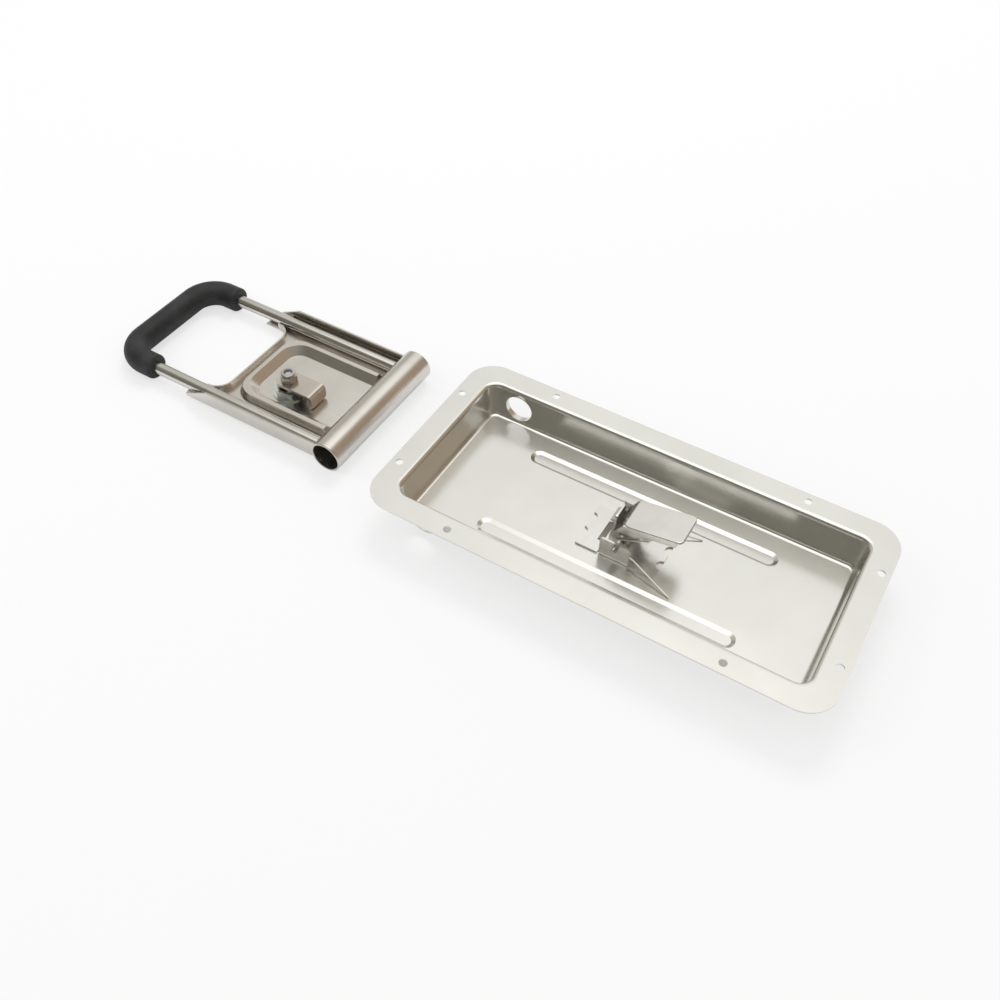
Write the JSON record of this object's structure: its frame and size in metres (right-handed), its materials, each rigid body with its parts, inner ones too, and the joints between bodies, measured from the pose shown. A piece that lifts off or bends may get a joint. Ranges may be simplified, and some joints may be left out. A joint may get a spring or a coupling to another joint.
{
  "type": "recessed paddle latch",
  "caption": "Flush door-gear handle: pressed pan with a sprung paddle catch, and a separate swing handle with pivot tube, covered grip and cylinder lock.",
  "frame": {"origin": "middle of the pan's screw pattern, on the back face of the flange", "axes": "+Z out of the door, +X along the pan away from the bar holes, +Y across the pan"},
  "size_m": [0.6117, 0.168, 0.0424],
  "materials": {
    "pan_stainless": "satin pressed stainless sheet, bright rolled lip",
    "catch_stainless": "smooth stainless strip",
    "pin_steel": "bright turned steel",
    "spring_wire": "bright drawn spring wire",
    "tube_stainless": "satin tube, ground lengthwise",
    "shell_stainless": "satin pressed stainless sheet",
    "bar_stainless": "bright drawn bar",
    "grip_rubber": "matte black rubber",
    "weld_metal": "bright weld metal",
    "lock_nickel": "nickel-plated zinc",
    "zinc_plate": "blue zinc plate, shiny",
    "small_nut_steel": "plain steel",
    "cam_stainless": "smooth stainless strip",
    "wafer_brass": "stamped brass",
    "nylon": "grey nylon ring"
  },
  "bodies": {
    "pan": {"recess_pan": "pan_stainless", "catch_base": "catch_stainless", "catch_pivot_pin": "pin_steel", "torsion_spring": "spring_wire"},
    "paddle": {"paddle_lever": "catch_stainless"},
    "handle": {"pivot_tube": "tube_stainless", "handle_shell": "shell_stainless", "handle_u_bar": "bar_stainless", "grip_sleeve": "grip_rubber", "weld_beads": "weld_metal", "lock_housing": "lock_nickel", "lock_washer": "zinc_plate", "lock_nut": "zinc_plate"},
    "lock_cam": {"lock_plug": "lock_nickel", "lock_wafers": "wafer_brass", "cam_stop_washer": "zinc_plate", "cam_plate": "cam_stainless", "cam_washer": "small_nut_steel", "cam_nyloc_nut": "small_nut_steel", "cam_nut_insert": "nylon"}
  },
  "joints": [
    {"name": "paddle_press", "type": "hinge", "parent": "pan", "child": "paddle", "pos_m": [0, 0, -0.0138], "axis": [0, 1, 0], "range_deg": [0, 25], "stiffness_Nm_per_rad": 0.4, "springref_deg": -28.65, "deforming": ["torsion_spring"]},
    {"name": "handle_swing", "type": "hinge", "parent": "pan", "child": "handle", "pos_m": [-0.2225, 0.0074, -0.0178], "axis": [0, 1, 0], "range_deg": [0, 120]},
    {"name": "lock_turn", "type": "hinge", "parent": "handle", "child": "lock_cam", "pos_m": [-0.2945, -0.0041, -0.0253], "axis": [0, 0, 1], "range_deg": [0, 90]}
  ]
}
